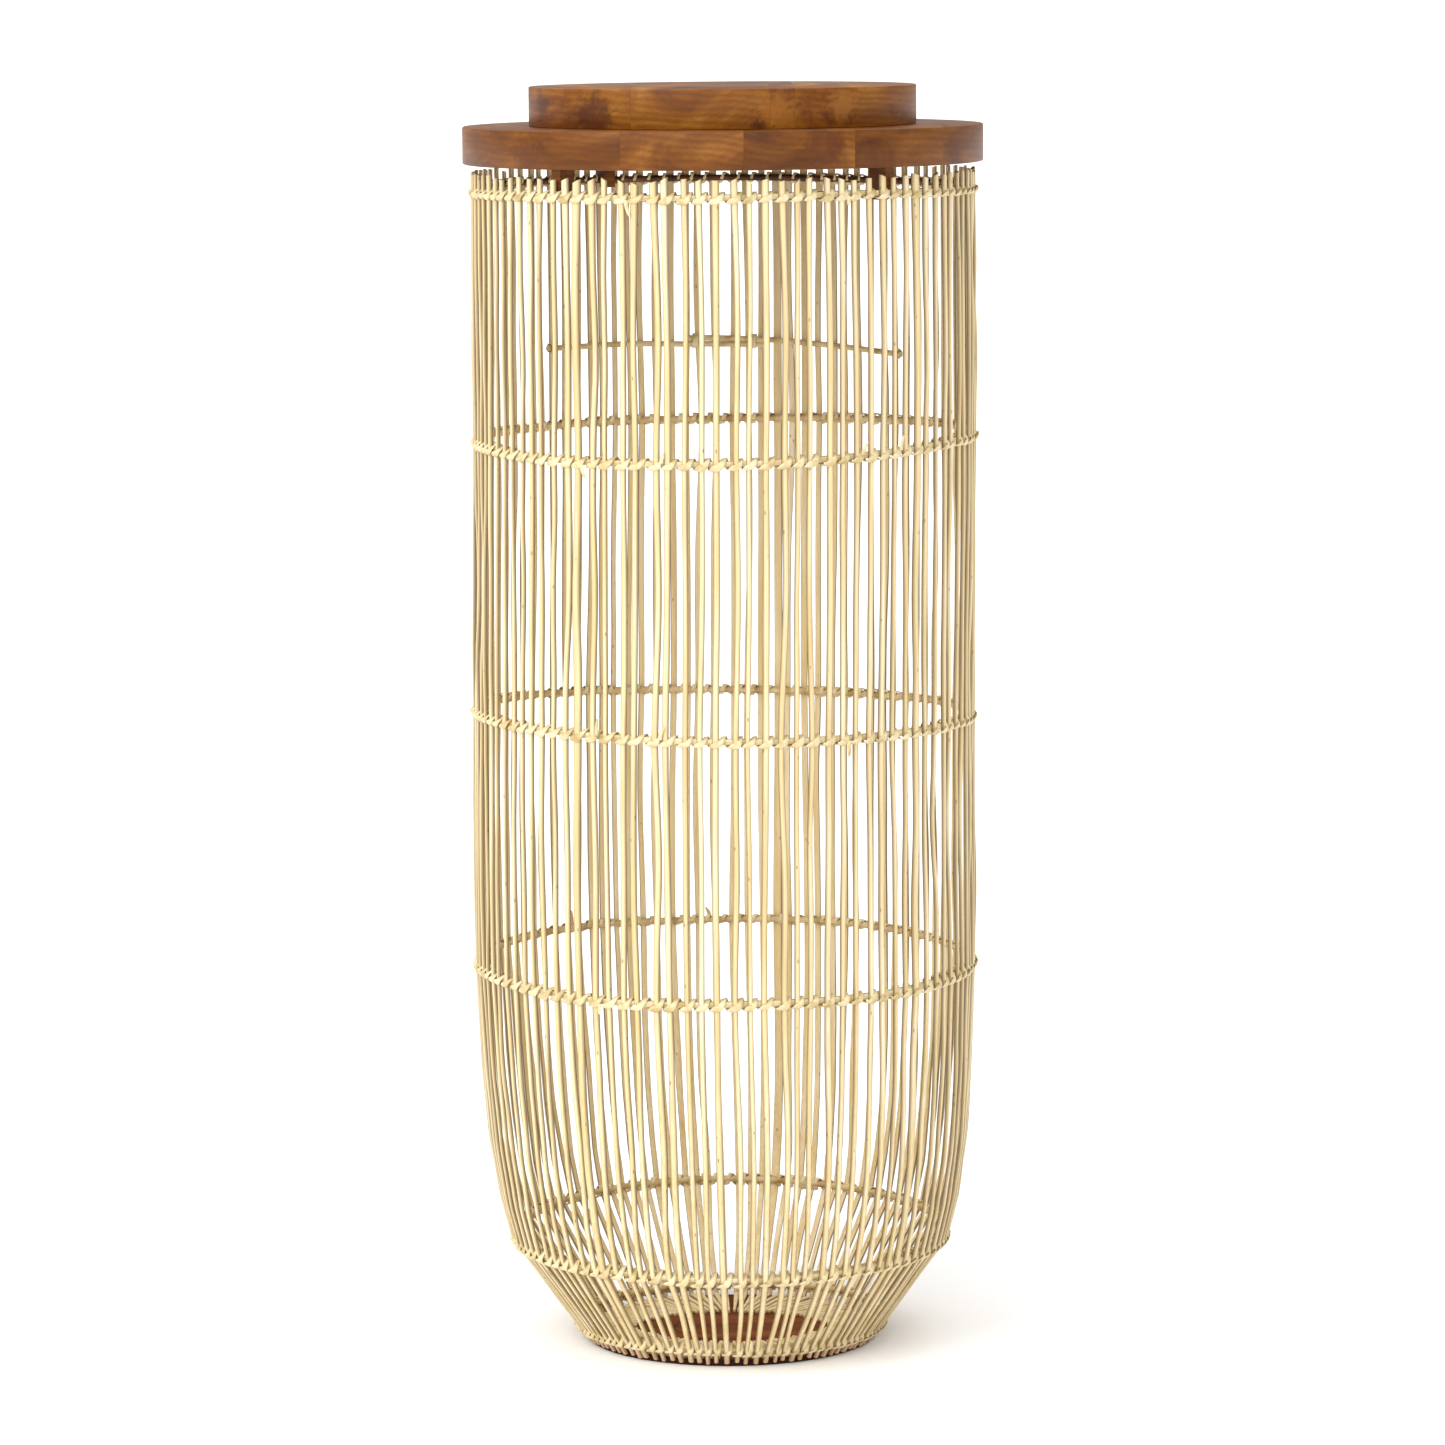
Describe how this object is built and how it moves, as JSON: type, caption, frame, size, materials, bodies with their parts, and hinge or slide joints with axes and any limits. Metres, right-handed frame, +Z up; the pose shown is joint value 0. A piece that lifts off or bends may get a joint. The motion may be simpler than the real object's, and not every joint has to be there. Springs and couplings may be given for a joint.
{
  "type": "floor lantern",
  "caption": "Tall barrel-shaped cage of upright rattan cane slats lashed to round cane hoops, tapering to a narrow foot, under a stepped round wooden lid that lifts off.",
  "frame": {"origin": "centre of the underside of the round base board, on the floor", "axes": "+Z up the cage to the lid; -Y is the side seen from the front, opposite the stay on the back wall; +X to the right seen from the front"},
  "size_m": [0.3272, 0.3272, 0.8],
  "materials": {
    "cane_slat": "satin",
    "cane_hoop": "satin",
    "cane_lashing": "satin",
    "cane_stay": "satin",
    "base_wood": "satin",
    "lid_wood": "satin",
    "block_wood": "satin",
    "screw_steel": "brushed"
  },
  "bodies": {
    "cage": {"slats_01": "cane_slat", "slats_02": "cane_slat", "slats_03": "cane_slat", "slats_04": "cane_slat", "slats_05": "cane_slat", "slats_06": "cane_slat", "slats_07": "cane_slat", "slats_08": "cane_slat", "slats_09": "cane_slat", "slats_10": "cane_slat", "slats_11": "cane_slat", "slats_12": "cane_slat", "slats_13": "cane_slat", "slats_14": "cane_slat", "slats_15": "cane_slat", "slats_16": "cane_slat", "slats_17": "cane_slat", "slats_18": "cane_slat", "slats_19": "cane_slat", "slats_20": "cane_slat", "hoop_rim": "cane_hoop", "hoop_upper": "cane_hoop", "hoop_middle": "cane_hoop", "hoop_lower": "cane_hoop", "hoop_bend": "cane_hoop", "hoop_foot": "cane_hoop", "lashing_rim": "cane_lashing", "lashing_upper": "cane_lashing", "lashing_middle": "cane_lashing", "lashing_lower": "cane_lashing", "lashing_bend": "cane_lashing", "lashing_foot": "cane_lashing", "stay_left": "cane_stay", "stay_right": "cane_stay", "stay_ties": "cane_lashing", "base_board": "base_wood", "tails_1": "cane_slat", "tails_2": "cane_slat", "tails_3": "cane_slat", "tails_4": "cane_slat"},
    "lid": {"lid_board": "lid_wood", "cap_board": "lid_wood", "lid_block_1": "block_wood", "lid_block_2": "block_wood", "lid_block_3": "block_wood", "lid_block_4": "block_wood", "lid_screws": "screw_steel"}
  },
  "joints": [
    {"name": "lid_lift", "type": "slide", "parent": "cage", "child": "lid", "axis": [0, 0, 1], "range_m": [0, 0.2]}
  ]
}
